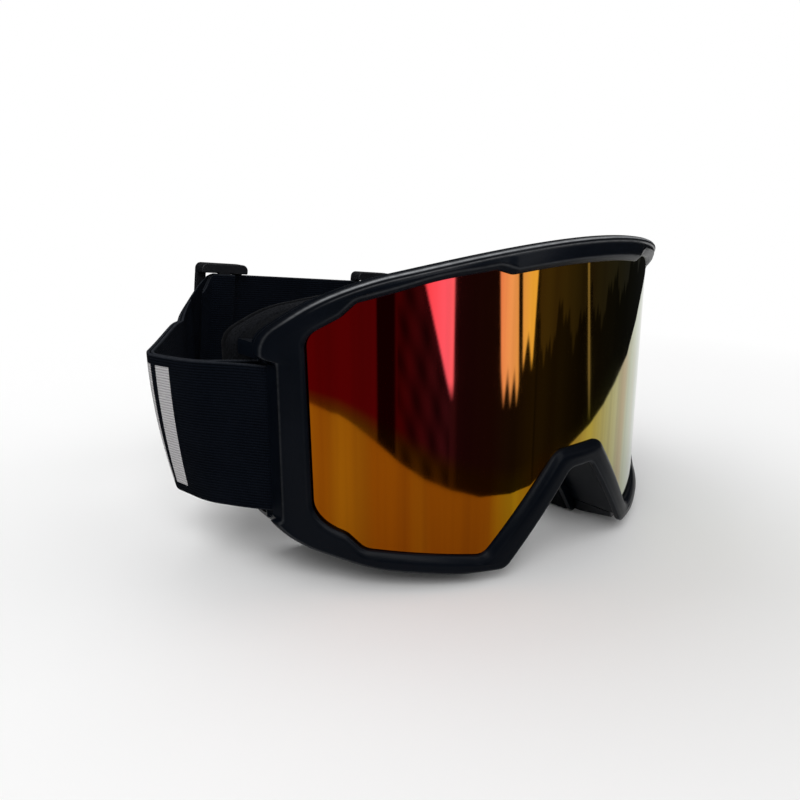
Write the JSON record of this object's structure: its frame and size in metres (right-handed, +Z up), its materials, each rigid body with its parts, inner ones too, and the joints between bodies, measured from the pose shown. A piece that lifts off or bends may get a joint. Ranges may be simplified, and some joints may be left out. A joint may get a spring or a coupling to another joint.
{
  "type": "ski goggles",
  "caption": "Ski goggles with a curved mirror lens in a moulded frame, layered face foam and a wide elastic strap that adjusts on sliders at the back.",
  "frame": {"origin": "on the surface that the foam stands on, under the middle of the bounding box", "axes": "+X to the wearer's left as seen from behind the lens (picture's right), +Y from the lens to the back of the strap, +Z up"},
  "size_m": [0.218, 0.1659, 0.1135],
  "materials": {
    "frame_plastic": "satin moulded",
    "lens_coat": "red and gold mirror coating",
    "lens_clear": "tinted clear",
    "spacer": "matt",
    "open_foam": "open-cell foam",
    "firm_foam": "foam",
    "soft_foam": "foam",
    "fleece": "fleece",
    "elastic": "woven elastic",
    "slider_plastic": "satin moulded",
    "silicone": "satin"
  },
  "bodies": {
    "frame_body": {"frame": "frame_plastic", "outer_lens": "lens_coat", "lens_gasket": "spacer", "inner_lens": "lens_clear", "top_vent_foam": "open_foam", "bottom_vent_foam_left": "open_foam", "bottom_vent_foam_right": "open_foam", "face_foam_base": "firm_foam", "face_foam_soft": "soft_foam", "face_fleece": "fleece", "strap_left": "elastic", "strap_right": "elastic", "strap_return_left": "elastic", "strap_return_right": "elastic"},
    "strap_back_body": {"strap_back": "elastic", "grip_lines": "silicone"},
    "slider_left_body": {"slider_left": "slider_plastic", "strap_end_left": "elastic"},
    "slider_right_body": {"slider_right": "slider_plastic", "strap_end_right": "elastic"}
  },
  "joints": [
    {"name": "strap_stretch", "type": "slide", "parent": "frame_body", "child": "strap_back_body", "axis": [0, 1, 0], "range_m": [0, 0.06], "stiffness_N_per_m": 150, "deforming": ["strap_left", "strap_right", "strap_return_left", "strap_return_right"]},
    {"name": "slider_left_slide", "type": "slide", "parent": "strap_back_body", "child": "slider_left_body", "axis": [0.9925, 0, -0.1219], "range_m": [0, 0.022], "deforming": ["strap_end_left"]},
    {"name": "slider_right_slide", "type": "slide", "parent": "strap_back_body", "child": "slider_right_body", "axis": [0.9925, 0, -0.1219], "range_m": [-0.006, 0.016], "deforming": ["strap_end_right"]}
  ]
}
